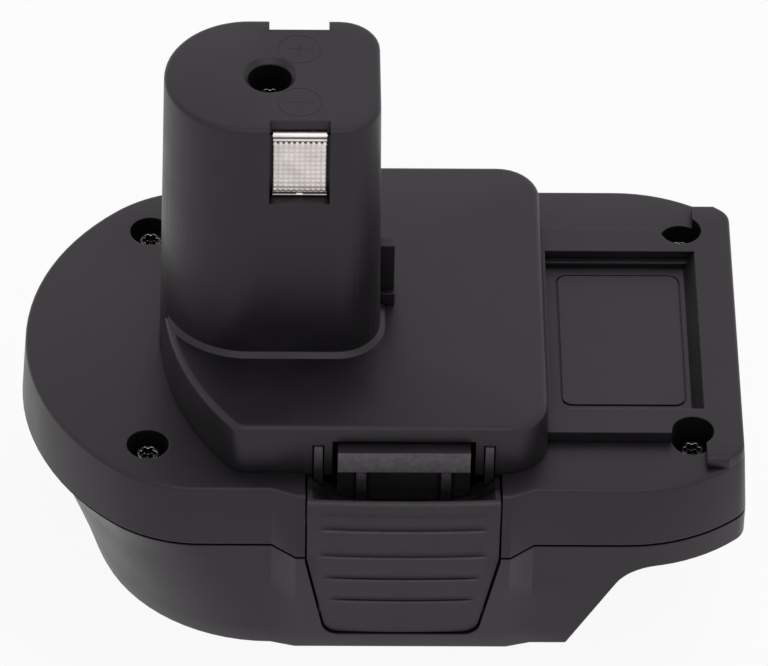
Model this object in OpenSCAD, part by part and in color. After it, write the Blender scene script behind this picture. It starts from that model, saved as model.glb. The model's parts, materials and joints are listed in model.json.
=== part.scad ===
// Tool battery adapter: a stem for the tool on top and slide rails for a battery underneath.
// +X points to the end where the battery slides in, +Y to the rear latch and +Z up the stem.
// The origin is under the middle of the casing, on the surface that it stands on. Millimetres.

/* [Casing] */
// Length at the parting line
casing_l = 114; // [108:0.5:124]
// Width at the parting line, without the latch bays
casing_w = 71.6; // [70:0.2:78]
// Height of the lower casing
lower_h = 22.4; // [21.8:0.2:26]
// Height of the cover's flat deck above the parting line
cover_h = 11.3; // [10.5:0.1:15]
// Lean of the cover's wall over its height
cover_lean = 0.6; // [0.3:0.1:1.4]
// How much larger the round end's tip radius is than half the width
tip_flat = 4.2; // [2:0.2:12]
// Radius of the round end's shoulders
shoulder_r = 22; // [16:0.5:28]
// Radius of the wide corners at the battery end
corner_r = 27; // [24:0.5:30]
// How much the end wall cuts off those corners
corner_cut = 8; // [5:0.1:10]
// Radius where the corners meet the end wall
nose_r = 4; // [2:0.5:7]
// Rounding of the deck's edge
edge_r = 0.6; // [0.4:0.1:1.8]
// Thickness of the casing walls
wall = 2.4; // [1.8:0.1:3]
// Open seam between the two casings
seam = 0.5; // [0.1:0.05:0.6]
// Height of the tongue that keeps the casings in line
tongue_h = 1.6; // [0.8:0.1:2.4]
// Thickness of the tongue
tongue_t = 1.2; // [0.8:0.1:1.6]
// Clearance round pieces that are pushed into each other
fit_gap = 0.15; // [0.05:0.05:0.3]
// Small step between walls that would lie in one plane
flush_step = 0.05; // [0.02:0.01:0.1]

/* [Battery bay] */
// How far the bottom is drawn in at the round end
skirt_tip_in = 10; // [6:0.1:12]
// Height of the neck under the parting line
neck_h = 3; // [2:0.1:4]
// How far the neck is drawn in at the round end
neck_in = 3; // [1:0.1:4]
// How far the bottom is drawn in at the long sides
skirt_lean = 1; // [0.5:0.1:1.6]
// How much larger the bottom's tip radius is than half its width
skirt_tip_flat = 10.7; // [4:0.1:16]
// Radius of the bottom's shoulders
skirt_shoulder_r = 28.2; // [20:0.2:31]
// Thickness of the skirt at its bottom
skirt_t = 2.6; // [2.2:0.1:3]
// Rounding of the bottom edge
foot_r = 0.6; // [0.2:0.1:1]
// Height of the bay
bay_h = 17.5; // [15:0.5:18.5]
// Thickness of the bay's roof
roof_t = 2.5; // [1.8:0.1:3]
// Where the skirt's bottom edge ends
skirt_end_x = 29; // [24:0.5:34]
// Slant of the skirt's end from upright, in degrees
skirt_end_a = 28.8; // [15:0.2:35]
// Radius from the skirt's end into the lip
skirt_end_r = 7; // [3:0.5:9]
// How far the slide rails reach in
rail_d = 3.9; // [2.5:0.1:5]
// Thickness of the slide rails
rail_t = 3.6; // [2.5:0.1:4.5]
// Height of the rails above the bottom
rail_z = 1.6; // [1:0.1:3]
// Where the rails start at the closed end
rail_x = -14; // [-16:0.5:0]
// Length of the recess for the battery's lock
lock_l = 5; // [3:0.5:8]
// Width of that recess
lock_w = 19; // [12:0.5:26]
// Depth of that recess
lock_depth = 1.7; // [0.8:0.1:1.7]
// Distance of that recess from the end wall
lock_in = 8; // [5:0.5:14]
// Wall between a latch's pocket and the bay
pocket_skin = 1.1; // [0.8:0.1:1.3]

/* [Platform] */
// Height of the raised platform above the deck
plat_h = 9; // [8.5:0.1:14]
// Width of the platform
plat_w = 62.6; // [58:0.2:64]
// Left end of the platform
plat_tip_x = -34.9; // [-38:0.1:-34]
// Right end of the platform
plat_end_x = 25.7; // [22:0.1:26]
// How much larger the left end's radius is than half the width
plat_tip_flat = 16; // [6:0.5:24]
// Radius of the platform's left corners
plat_shoulder_r = 3; // [1.5:0.1:6]
// Radius of the platform's right corners
plat_corner_r = 7; // [2:0.1:9]
// Rounding of the platform's edge
plat_edge_r = 1; // [0.8:0.1:2.2]
// Lean of the platform's wall over its height
plat_lean = 0.3; // [0.1:0.1:0.8]
// How far the platform's wall goes down into the deck
plat_root = 0.4; // [0.2:0.1:0.6]

/* [Stem] */
// Height of the stem above the platform
stem_h = 45.5; // [42:0.5:56]
// Depth of the stem at its top
stem_w = 26.5; // [26:0.1:30]
// Centre of the stem's round side
stem_x = -21.2; // [-21.4:0.1:-20]
// Distance from that centre to the flat side
stem_flat = 20.1; // [18:0.05:24]
// Radius of the corners at the flat side
stem_corner_r = 6.3; // [2:0.1:8]
// Growth of the stem from its top to its foot
stem_draft = 0.6; // [0.2:0.05:0.8]
// Further growth of the stem's depth from top to foot
stem_swell = 0.35; // [0:0.05:0.6]
// Rounding of the stem's top edge
stem_edge_r = 0.8; // [0.3:0.1:1.2]
// Bevel round the stem's foot
stem_bevel = 0.8; // [0.4:0.1:2]
// Least distance of that bevel from the platform's edge
stem_inset = 0.4; // [0.2:0.1:0.8]
// Wall of the hollow stem
stem_wall = 2.1; // [1.8:0.1:2.6]
// Thickness of the stem's top
stem_top_t = 2.4; // [1.8:0.1:3]
// Thickness of the key on the stem's flat side
key_w = 2.2; // [2:0.1:5]
// How far the key stands out
key_out = 2.2; // [1:0.1:4]
// Height of the key above the platform
key_h = 11.3; // [6:0.1:20]
// Height of the key's foot above the platform
key_foot_h = 2.3; // [1:0.1:4]
// How far the key's foot stands out beside the key
key_foot_out = 1.2; // [0.4:0.1:2]

/* [Contacts] */
// Centre of the contact windows
win_x = -13.55; // [-16:0.05:-12]
// Width of the contact windows
win_w = 9.3; // [8:0.1:10]
// Height of the contact windows
win_h = 14.6; // [13:0.1:20]
// Depth of the contact windows
win_depth = 2.45; // [2.3:0.05:2.8]
// Gap beside the contact in its window
contact_gap = 0.45; // [0.3:0.05:0.8]
// Thickness of the contact sheet
contact_t = 0.7; // [0.4:0.1:0.7]
// Depth of the contact's face in its window
contact_in = 1.5; // [1:0.05:1.5]
// Height of the contact's foot above the window's sill
contact_sill = 0.2; // [0.15:0.05:3]
// How far the contact's foot turns in
contact_turn = 3.55; // [3:0.05:4]
// Length of the contact's tail
tail_l = 15; // [12:0.5:18]
// Length of the carrier below the window's sill
carrier_low = 10; // [6:0.1:12]
// Gap between the carrier and the stem's top
carrier_gap = 0.3; // [0.2:0.1:0.5]
// Depth of the contact's top edge below the stem's top
contact_drop = 1.9; // [1.2:0.1:1.9]

/* [Screws] */
// Radius of the screw heads
head_r = 2.5; // [2.3:0.05:2.9]
// Height of the screw heads
head_h = 2.2; // [1.6:0.1:2.6]
// Bevel of the screw heads
head_slope = 0.9; // [0.4:0.1:1]
// Radius of the drive's core
drive_r = 1; // [0.7:0.05:1.1]
// Radius of the drive's lobes
lobe_r = 0.36; // [0.25:0.01:0.4]
// Depth of the drive
drive_depth = 1.3; // [0.8:0.1:1.5]
// Radius of the screw shanks
shank_r = 1.45; // [1.2:0.05:1.6]
// Radial clearance of a shank in its hole
shank_gap = 0.05; // [0.02:0.01:0.1]
// Radius of the counterbores
sink_r = 3.3; // [3.1:0.05:3.6]
// Depth of the counterbores below the deck
sink_depth = 4; // [3:0.1:5]
// Radius of the screw bosses
boss_r = 4.5; // [4.2:0.1:5]
// Height of the lower bosses above the bay's roof
boss_h = 4; // [2.5:0.1:5]
// Material left under a screw's tip
tip_skin = 1; // [0.6:0.1:1.6]
// Room between a screw's tip and the bottom of its hole
tip_gap = 0.3; // [0.2:0.1:0.6]
// Distance of the round end's screws from its tip
round_screw_in = 20.2; // [18:0.1:22]
// Distance of those screws from the long sides
round_screw_side = 10.8; // [9:0.1:12]
// Distance of the battery end's screws from the end wall
end_screw_in = 8.7; // [8:0.1:10]
// Distance of those screws from the long sides
end_screw_side = 12.2; // [11:0.1:14]
// Distance of the stem's screw from the centre of its round side
stem_screw_in = 3.05; // [0:0.05:4]
// Radius of the stem's screw hole
stem_sink_r = 3.4; // [3.1:0.05:3.8]
// Depth of the stem's screw hole
stem_sink_depth = 6.2; // [5:0.1:8]
// Width of the lead-in round the stem's screw hole
lead_in = 0.8; // [0.3:0.1:1]
// Floor under the stem screw's head
stem_floor = 1.5; // [1.2:0.1:2]
// Wall round the stem's screw hole
stem_boss_wall = 1.4; // [1:0.1:1.8]
// Length of the stem's screw below its head
stem_screw_l = 12; // [8:0.5:13]

/* [Label frame] */
// Height of the frame above the deck
frame_h = 2; // [1.2:0.1:2.6]
// Width of the frame between platform and rim
frame_w = 48; // [44:0.5:56]
// Width of the rim along the end wall
rim_w = 59.8; // [57:0.2:62]
// Length of the rim
rim_l = 6.1; // [4.5:0.1:7]
// Rounding of the rim's ends
rim_r = 1; // [0.4:0.1:1.2]
// Width of the pocket in the frame
pocket_w = 37; // [34:0.5:42]
// Depth of the pocket's upper step
step_depth = 1.5; // [0.8:0.1:1.8]
// Width of the step
step_w = 1.2; // [0.6:0.1:1.6]
// Depth of the pocket below the step
pocket_depth = 0.9; // [0.4:0.1:1.1]
// Slant of the pocket's wall at the rim
pocket_slope = 1.8; // [0.5:0.1:2]
// Length of the label
label_l = 19.2; // [14:0.1:20]
// Width of the label
label_w = 30.2; // [24:0.1:33]
// Thickness of the label
label_t = 0.4; // [0.2:0.05:0.5]
// Open groove round the label
label_gap = 0.3; // [0.1:0.05:0.5]
// Radius of the label's corners
label_r = 1.5; // [0.5:0.1:3]
// Distance of the label from the pocket's middle
label_shift = -0.4; // [-0.6:0.1:0]
// How far the label stands out of its recess
label_proud = 0.1; // [0.05:0.05:0.2]

/* [Latches] */
// Middle of the latches along the casing
latch_x = 3; // [0:0.1:4]
// Width of a latch
latch_w = 30; // [29:0.1:34]
// Width of a latch at its foot
latch_foot_w = 23.6; // [21:0.1:26]
// Height of the latch's foot above the bottom
latch_foot_z = 3.6; // [3:0.1:5]
// Radius of the foot's corners
latch_foot_r = 2.5; // [1.5:0.1:3.5]
// Height where the latch's sides start to taper
latch_knee_z = 21.4; // [17:0.1:21.5]
// Drop of the latch's top edge below the deck
latch_drop = 0.7; // [0.4:0.1:1.5]
// Open gap round the latch
latch_gap = 0.3; // [0.25:0.05:0.5]
// Thickness of the latch's panel
latch_t = 2.2; // [1.8:0.1:2.3]
// Depth of the panel's sides below the bay's face
latch_sink = 0.75; // [0.6:0.05:1]
// Bulge of the panel between its sides
latch_crown = 0.45; // [0:0.05:0.6]
// Rounding of the panel's top edge
latch_edge_r = 0.6; // [0.3:0.1:0.8]
// How far the latch bays stand out at the parting line
bay_out = 2.95; // [2:0.05:3.5]
// How far the latch bays stand out at the deck
bay_top_out = 1.6; // [1:0.1:3]
// How far the latch bays stand out at the bottom
bay_foot_out = 1.0; // [0.8:0.1:1.6]
// Flat face beside the latch
bay_side = 1.4; // [0.3:0.1:2]
// Distance from the latch to the ends of its bay
bay_ramp = 5.5; // [4:0.1:8]
// Width of a grip groove
groove_w = 0.5; // [0.3:0.05:0.8]
// Share of a groove's width above its deepest line
groove_tilt = 0.3; // [0.2:0.05:0.5]
// Depth of a grip groove
groove_depth = 0.5; // [0.2:0.05:0.6]
// Distance between the grip grooves
groove_pitch = 5.35; // [4.5:0.05:6]
// Height of the lowest grip groove
groove_z = 11.6; // [10:0.1:13]
// Number of grip grooves
groove_n = 4; // [2:1:4]
// Space left beside the grip grooves
groove_in = 1.5; // [1.2:0.1:5]
// Height of the pivot above the bottom
pivot_z = 8; // [7:0.1:9]
// Depth of the pivot below the bay's face
pivot_in = 2.1; // [1.7:0.1:2.2]
// Radius of the pivot pins
pivot_r = 1.1; // [0.8:0.05:1.2]
// Length of the pivot pins
pivot_l = 2.2; // [1.5:0.1:3]
// Radial clearance of the pivot pins
pivot_gap = 0.05; // [0.02:0.01:0.09]

/* [Latch hooks] */
// Width of the hook bar
hook_w = 20.6; // [18:0.1:22]
// How far the hook stands out of the platform's wall
hook_out = 1.7; // [1.4:0.1:2.2]
// Depth of the hook bar
hook_d = 3.6; // [3:0.1:4.2]
// Height of the hook's underside above the deck
hook_rise = 1.7; // [1:0.1:2]
// Height of the hook's front face
hook_h = 4.05; // [3:0.05:4.4]
// Rise of the hook's sloped top
hook_slope = 0.2; // [0.1:0.1:0.6]
// Thickness of the web under the hook
web_t = 2; // [1.6:0.1:2.4]
// Height of the scoop's floor below the deck
scoop_drop = 5.3; // [4:0.1:6]
// Thickness of the scoop's floor
scoop_t = 2.2; // [1.6:0.1:2.6]
// Distance of the gussets from the latch's middle
gusset_x = 6.6; // [4:0.05:9]
// Thickness of the gussets
gusset_t = 1.6; // [1:0.1:2.4]
// How far the gussets stay behind the hook's front face
gusset_in = 0.3; // [0.1:0.1:0.8]
// Distance of the ears from the latch's middle
ear_x = 13.3; // [13.1:0.05:13.6]
// Thickness of the ears at their foot
ear_t = 1.5; // [1.4:0.1:1.7]
// Thickness of the ears at their top
ear_top_t = 1.3; // [1:0.1:1.6]
// Height of the ears above the deck
ear_h = 5.4; // [3.5:0.1:6]
// Depth of the ears
ear_d = 2; // [1.6:0.1:2.6]
// How far the ears stand out of the platform's wall
ear_out = 0.5; // [0.2:0.1:0.8]
// How far the ears lean back
ear_lean = 0.5; // [0:0.1:0.8]
// Gap round the ears in their slots
ear_gap = 0.15; // [0.15:0.05:0.3]
// Gap above the hook in its window
hook_gap = 0.4; // [0.3:0.05:0.6]
// Gap beside the hook in its window
hook_side = 0.8; // [0.3:0.1:0.9]
// How far the stop tabs reach past the latch's sides
tab_out = 1.7; // [1:0.1:2]
// Thickness of the stop tabs
tab_t = 1.5; // [1:0.1:1.8]
// Height of the stop tabs
tab_h = 5; // [3:0.1:6]
// Clearance in front of the stop tabs
tab_gap = 0.3; // [0.2:0.05:0.4]
// Distance from the latch's sides to the ends of the scoop
scoop_side = 0.8; // [0.5:0.1:2]
// Share by which the scoop rises towards its ends
scoop_fade = 0.88; // [0.5:0.02:0.9]
// Drop of the shoulders below the latch's top edge
shoulder_drop = 0.4; // [0.2:0.1:0.8]
// Thickness of the panel's lip in front of the scoop
scoop_lip = 0.9; // [0.9:0.1:1.5]

/* [Latch springs] */
// Outer diameter of a spring
spring_od = 6; // [5:0.1:7]
// Wire of a spring
spring_wire = 0.7; // [0.5:0.05:0.8]
// Number of curls
spring_n = 5; // [4:1:5]
// Length of a spring at rest
spring_l = 8.3; // [8:0.1:10]
// Thickness of the post behind a spring
post_t = 2.4; // [1.8:0.1:3]
// How far the post reaches past the spring
post_side = 1.5; // [1:0.1:2]
// Height of the spring above the scoop's floor
spring_rise = 1.6; // [1:0.1:2]
// Gap at both ends of a spring
spring_seat = 0.05; // [0.02:0.01:0.1]
// Radius of the pegs that hold a spring
peg_r = 1.9; // [1.2:0.05:1.9]
// Length of those pegs
peg_l = 1.8; // [1:0.1:2]

/* [Terminals] */
// Distance of the terminal block's flange from the screw bosses
block_in = 0.5; // [0.3:0.1:3]
// Length of the terminal block
block_l = 10; // [8:0.5:12]
// Width of the terminal block
block_w = 40; // [38:0.5:41]
// How far the block reaches down into the bay
block_drop = 10.5; // [9:0.1:12]
// Thickness of the block's flange
flange_t = 2; // [1.5:0.1:3]
// How far the flange reaches past the block
flange_out = 6.5; // [6:0.1:7.5]
// Distance of the flange's screws from its ends
flange_screw_in = 3; // [2.8:0.1:3.4]
// Radius of the flange screws' heads
flange_head_r = 2.5; // [2.2:0.1:2.7]
// Distance between the two blades
blade_pitch = 33; // [30:0.5:34]
// Thickness of the blades
blade_t = 1; // [0.8:0.1:1.2]
// Height of the blades
blade_h = 7; // [5:0.1:7.5]
// Distance of the blades from the bay's roof
blade_drop = 2; // [1.5:0.1:2.5]
// Clearance of a blade in its slot
blade_gap = 0.04; // [0.02:0.01:0.08]
// Length of the blades in front of the block
blade_l = 15; // [10:0.5:18]
// Depth of the blades inside the block
blade_root = 8; // [6:0.5:8]
// Width of a blade's tail
blade_tail_w = 4; // [3:0.1:5]
// How far a blade's tail stands over the flange
blade_tail = 2; // [1:0.1:3]
// Bevel of the blades' tips
blade_bevel = 1.2; // [0.6:0.1:2]
// Radius of the leads
lead_r = 1.2; // [0.8:0.05:1.25]

/* [Hidden] */
$fn = 48;
// How far a cutter passes the surface that it opens
over = 5;
// Overlap of pieces that are moulded in one
bond = 0.6;

half_w = casing_w / 2;
end_x = casing_l / 2;
deck_z = lower_h + cover_h;
top_under = deck_z - wall;
plat_z = deck_z + plat_h;
plat_under = plat_z - wall;
plat_half = plat_w / 2;
stem_z = plat_z + stem_h;
stem_r = stem_w / 2;
stem_under = stem_z - stem_top_t;
frame_z = deck_z + frame_h;
step_z = frame_z - step_depth;
pocket_z = step_z - pocket_depth;
skirt_half = half_w - skirt_lean;
bay_half = skirt_half - skirt_t;
skirt_tip = -end_x + skirt_tip_in;
roof_z = bay_h + roof_t;
boss_z = roof_z + boss_h;
pilot_r = shank_r + shank_gap;
seat_z = deck_z - sink_depth;
stem_seat_z = stem_z - stem_sink_depth;
carrier_seat_z = stem_seat_z - stem_floor;
stem_screw_x = stem_x + stem_screw_in;
round_screw = [-end_x + round_screw_in, half_w - round_screw_side];
end_screw = [end_x - end_screw_in, half_w - end_screw_side];
casing_screw_spots = [for (p = [round_screw, end_screw], s = [-1, 1]) [p[0], s * p[1]]];
pocket_x = [plat_end_x + bond, end_x - cover_lean - rim_l];
label_x = (pocket_x[0] + pocket_x[1]) / 2 + label_shift;
label_z = [pocket_z + label_proud - label_t, pocket_z + label_proud];
sill_z = stem_z - win_h;
contact_w = win_w - 2 * contact_gap;
contact_foot_z = sill_z + contact_sill;
contact_face = stem_r - contact_in;
tail_face = contact_face - contact_turn;
latch_top = deck_z - latch_drop;
latch_half = latch_w / 2;
cut_half = latch_half + latch_gap;
taper = atan2(latch_half - latch_foot_w / 2, latch_knee_z - latch_foot_z);
pivot_y = bay_y(pivot_z) - pivot_in;
pocket_y = bay_half + pocket_skin;
hook_y = plat_half + hook_out;
hook_z = deck_z + hook_rise;
web_y = hook_y - hook_d + bond;
ear_y = plat_half + ear_out;
scoop_z = deck_z - scoop_drop;
shelf_z = scoop_z - scoop_t;
tab_y = half_w + bay_out - wall - cover_lean - tab_gap;
spring_z = scoop_z + spring_rise;
post_y = web_y - spring_l;
flange_l = 2 * flange_screw_in;
block_x = round_screw[0] + boss_r + block_in + flange_l - block_l;
block_half = block_w / 2;
flange_half = block_half + flange_out;
flange_screw = [block_x + block_l - flange_screw_in, flange_half - flange_screw_in];
blade_y = blade_pitch / 2;
blade_z = bay_h - blade_drop - blade_h;
tail_z = boss_z + flange_t + blade_tail;
tail_x = block_x + block_l - blade_root;
lead_y = blade_y - blade_t / 2 - fit_gap - lead_r;
contact_lead_y = tail_face + fit_gap + lead_r;

// Route of a lead from its blade to its contact, on the rear side
LEAD_POINTS = [
    [tail_x + blade_tail_w / 2, lead_y, boss_z + flange_t + 0.4],
    [tail_x + blade_tail_w / 2, lead_y, boss_z + flange_t + 2.5],
    [-28, 12.4, 31.5], [-21, 10.2, 37], [-15.5, contact_lead_y, 44],
    [win_x, contact_lead_y, 52], [win_x, contact_lead_y, contact_foot_z - tail_l + 8]];

// Plane in front of a latch at a height, on the rear side
function bay_y(z) = z > lower_h
    ? half_w + bay_out - cover_lean * (z - lower_h) / cover_h
    : half_w + bay_out - (lower_h - z) * (skirt_lean + bay_out - bay_foot_out) / lower_h;
function panel_y(z) = bay_y(z) - latch_sink;

// How far a latch bay stands out of the cover at a height
function bay_reach(z) = bay_out + (bay_top_out - bay_out) * (z - lower_h) / cover_h;

// Bulge of the panel at a distance from the latch's middle
function crown(x) = latch_crown * (1 - pow(x / latch_half, 2));

// Points on an arc, and an outline closed by its mirror image
function arc(c, r, a0, a1, n) = [for (i = [0:n]) let (a = a0 + (a1 - a0) * i / n)
    [c[0] + r * cos(a), c[1] + r * sin(a)]];
function both_sides(half) = concat(half,
    [for (i = [len(half) - 1:-1:0]) if (half[i][1] > 0.001) [half[i][0], -half[i][1]]]);

// A round end of two radii, from its tip to the long side
function round_end(tip, w, flat, r2, off, n = 14) =
    let (r1 = w + flat, c1 = tip + r1, cy = w - r2, c2 = c1 - sqrt(pow(r1 - r2, 2) - cy * cy))
    let (a = atan2(cy, c2 - c1))
    concat(arc([c1, 0], r1 + off, 180, a, n), arc([c2, cy], r2 + off, a, 90, n));

// A wide corner cut by the end wall, from the long side to the end wall
function cut_corner(end, w, off) =
    let (reach = corner_r - corner_cut, c3 = [end - reach, w - corner_r])
    let (dy = sqrt(pow(corner_r - nose_r, 2) - pow(reach - nose_r, 2)))
    let (c4 = [end - nose_r, c3[1] + dy], a = atan2(dy, reach - nose_r))
    concat(arc(c3, corner_r + off, 90, a, 10), arc(c4, nose_r + off, a, 0, 6));

// The step out to a latch bay and back
function bay_step(w, out, off) =
    let (far = latch_half + bay_ramp, near = cut_half + bay_side)
    [[latch_x - far, w + off], [latch_x - near, w + out + off],
        [latch_x + near, w + out + off], [latch_x + far, w + off]];

// Outlines of the casing at the parting line and at the bottom, with or without latch bays
function parting_outline(off, bays = true, out = bay_out) = both_sides(concat(
    round_end(-end_x, half_w, tip_flat, shoulder_r, off),
    bays ? bay_step(half_w, out, off) : [], cut_corner(end_x, half_w, off)));
function bottom_outline(off, bays = true, end = end_x) = both_sides(concat(
    round_end(skirt_tip, skirt_half, skirt_tip_flat, skirt_shoulder_r, off),
    bays ? bay_step(skirt_half, bay_foot_out, off) : [], cut_corner(end, skirt_half, off)));
function neck_outline() =
    let (w = half_w - skirt_lean * neck_h / lower_h)
    both_sides(concat(round_end(-end_x + neck_in, w, tip_flat + neck_in / 2, shoulder_r, 0),
        bay_step(w, bay_y(lower_h - neck_h) - w, 0), cut_corner(end_x, w, 0)));
function platform_outline(off) = both_sides(concat(
    round_end(plat_tip_x, plat_half, plat_tip_flat, plat_shoulder_r, off),
    arc([plat_end_x - plat_corner_r, plat_half - plat_corner_r], plat_corner_r + off, 90, 0, 9)));
function stem_outline(off, swell = 0) = let (k = 1 + swell / (stem_r + off), c = stem_corner_r)
    [for (p = both_sides(concat(arc([stem_x, 0], stem_r + off, 180, 90, 18),
        arc([stem_x + stem_flat - c, stem_r - c], c + off, 90, 0, 9)))) [p[0], k * p[1]]];

// Heights and offsets of a wall with a lean and a rounded top edge
function edge_rings(z0, z1, lean, r) = concat([[z0, 0]],
    [for (a = [0:22.5:90]) [z1 - r + r * sin(a), -lean - r * (1 - cos(a))]]);
function at_height(points, z) = [for (p = points) [p[0], p[1], z]];
function between(a, b, t) = [for (i = [0:len(a) - 1]) a[i] + (b[i] - a[i]) * t];

// Skin through rings of equally many points, each clockwise seen from the last one
module loft(rings) {
    n = len(rings[0]);
    last = len(rings) - 1;
    sides = [for (k = [0:last - 1], i = [0:n - 1]) let (a = k * n, b = a + n, j = (i + 1) % n)
        each [[a + i, a + j, b + j], [a + i, b + j, b + i]]];
    caps = [[for (i = [n - 1:-1:0]) i], [for (i = [0:n - 1]) last * n + i]];
    polyhedron(points = [for (r = rings, p = r) p], faces = concat(sides, caps), convexity = 8);
}

module prism(points, z0, z1) {
    translate([0, 0, z0]) linear_extrude(z1 - z0) polygon(points);
}

module block(x, y, z) {
    translate([x[0], y[0], z[0]]) cube([x[1] - x[0], y[1] - y[0], z[1] - z[0]]);
}

module rounded_plate(x, y, z, r) {
    corners = [[x[1] - r, y[1] - r, 90], [x[1] - r, y[0] + r, 0],
        [x[0] + r, y[0] + r, -90], [x[0] + r, y[1] - r, 180]];
    prism([for (c = corners) each arc([c[0], c[1]], r, c[2], c[2] - 90, 4)], z[0], z[1]);
}

module rod(p, r, z0, z1) {
    translate([p[0], p[1], z0]) cylinder(r = r, h = z1 - z0);
}

// A profile in Y and Z, drawn out along X about the middle of the latch
module along_x(points, w) {
    translate([latch_x - w / 2, 0, 0]) rotate([90, 0, 90]) linear_extrude(w) polygon(points);
}

// The same, bulged like the latch's panel
module crowned(points, w, n = 10) {
    loft([for (i = [0:n]) let (x = w * (i / n - 0.5))
        [for (p = points) [latch_x + x, p[0] + crown(x), p[1]]]]);
}

module front_and_rear() {
    children();
    mirror([0, 1, 0]) children();
}

// Tube along a path, with sides placed from a reference direction
function way(path, i) = let (d = path[min(i + 1, len(path) - 1)] - path[max(i - 1, 0)]) d / norm(d);
function tube_ring(c, t, ref, r, n) = let (u = cross(ref, t) / norm(cross(ref, t)), v = cross(t, u))
    [for (k = [0:n - 1]) c + r * (cos(360 * k / n) * u - sin(360 * k / n) * v)];
module tube(path, ref, r, n) {
    loft([for (i = [0:len(path) - 1]) tube_ring(path[i], way(path, i), ref, r, n)]);
}

// Smooth curve through points
function smooth(p, m) = let (k = len(p) - 1) concat([for (i = [0:k - 1], j = [0:m - 1])
    let (t = j / m, a = p[max(i - 1, 0)], b = p[i], c = p[i + 1], d = p[min(i + 2, k)])
    (2 * b + (c - a) * t + (2 * a - 5 * b + 4 * c - d) * t * t
        + (3 * b - a - 3 * c + d) * t * t * t) / 2], [p[k]]);

module cover_block(top, inset) {
    lean = cover_lean * (top - lower_h) / cover_h;
    loft([for (e = edge_rings(lower_h + seam / 2, top, lean, edge_r))
        at_height(parting_outline(e[1] - inset, true, bay_reach(e[0])), e[0])]);
}

module platform_block() {
    loft([for (e = edge_rings(deck_z - plat_root, plat_z, plat_lean, plat_edge_r))
        at_height(platform_outline(e[1]), e[0])]);
}

// Stem from the deck up, its round side running down past the platform
module stem_block() {
    low = deck_z - plat_root;
    grow = (stem_z - low) / stem_h;
    loft(concat([at_height(stem_outline(stem_draft * grow, stem_swell * grow), low)],
        [for (a = [0:22.5:90]) at_height(stem_outline(-stem_edge_r * (1 - cos(a))),
            stem_z - stem_edge_r + stem_edge_r * sin(a))]));
}

// Bevel between stem and platform, kept on the platform
module stem_foot() {
    foot = stem_draft - flush_step;
    intersection() {
        loft([for (e = [[plat_under, stem_bevel], [plat_z, stem_bevel], [plat_z + stem_bevel, 0]])
            at_height(stem_outline(foot + e[1], stem_swell), e[0])]);
        prism(platform_outline(-plat_lean - stem_inset), plat_under, plat_z + over);
    }
}

module stem_key() {
    x = stem_x + stem_flat;
    end = x + stem_draft + key_out;
    y = key_w / 2 + key_foot_out;
    block([x - bond, end], [-key_w / 2, key_w / 2], [plat_under, plat_z + key_h]);
    block([x - bond, end + flush_step], [-y, y], [plat_under, plat_z + key_foot_h]);
}

// Frame round the label and the rim along the end wall
module label_frame() {
    y = rim_w / 2;
    z = frame_z + flush_step - rim_r;
    intersection() {
        cover_block(frame_z, flush_step);
        union() {
            block([plat_end_x - over, end_x], [-frame_w / 2, frame_w / 2], [top_under, frame_z + over]);
            translate([pocket_x[1], 0, 0]) rotate([90, 0, 90]) linear_extrude(rim_l + cover_lean)
                polygon(concat([[-y, top_under], [y, top_under]], arc([y - rim_r, z], rim_r, 0, 90, 4),
                    arc([rim_r - y, z], rim_r, 90, 180, 4)));
        }
    }
}

// Pocket with a step along both sides and a slanted wall at the rim
module label_pocket() {
    for (e = [[pocket_w / 2, step_z], [pocket_w / 2 - step_w, pocket_z]]) {
        x = pocket_x[1] - pocket_slope * (frame_z - e[1]) / (step_depth + pocket_depth);
        translate([0, e[0], 0]) rotate([90, 0, 0]) linear_extrude(2 * e[0])
            polygon([[pocket_x[0], e[1]], [x, e[1]], [pocket_x[1], frame_z],
                [pocket_x[1], frame_z + over], [pocket_x[0], frame_z + over]]);
    }
    label_form(label_gap, label_z[0], frame_z);
}

module label_form(grow, z0, z1) {
    rounded_plate([label_x - label_l / 2 - grow, label_x + label_l / 2 + grow],
        [-label_w / 2 - grow, label_w / 2 + grow], [z0, z1], label_r + grow);
}

// Hollow of the cover: under the deck, under the platform and up the stem
module cover_hollow() {
    prism(parting_outline(-wall, false), lower_h - over, top_under);
    prism(platform_outline(-wall), top_under - bond, plat_under);
    prism(stem_outline(-stem_wall), plat_under - bond, stem_under);
}

// Opening in the cover for one latch, below the platform
module latch_cut() {
    block([latch_x - cut_half, latch_x + cut_half], [plat_half - wall - bond, half_w + over * 2],
        [lower_h - over, deck_z + over]);
}

// Windows in the platform's wall for one latch's hook and ears, and room for its stop tabs
module hook_windows() {
    y = [plat_half - wall - bond, plat_half + over];
    w = hook_w / 2 + hook_side;
    block([latch_x - w, latch_x + w], y, [top_under, hook_z + hook_h + hook_slope + hook_gap]);
    for (s = [-1, 1]) {
        x = latch_x + s * ear_x;
        e = ear_t / 2 + ear_gap;
        block([x - e, x + e], y, [top_under, deck_z + ear_h + ear_gap]);
    }
    t = latch_half + tab_out + latch_gap;
    block([latch_x - t, latch_x + t], [half_w - wall - bond, tab_y + tab_gap],
        [lower_h - over, top_under]);
}

module stem_window() {
    block([win_x - win_w / 2, win_x + win_w / 2], [stem_r - win_depth, stem_r + over],
        [sill_z, stem_z + over]);
}

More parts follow.
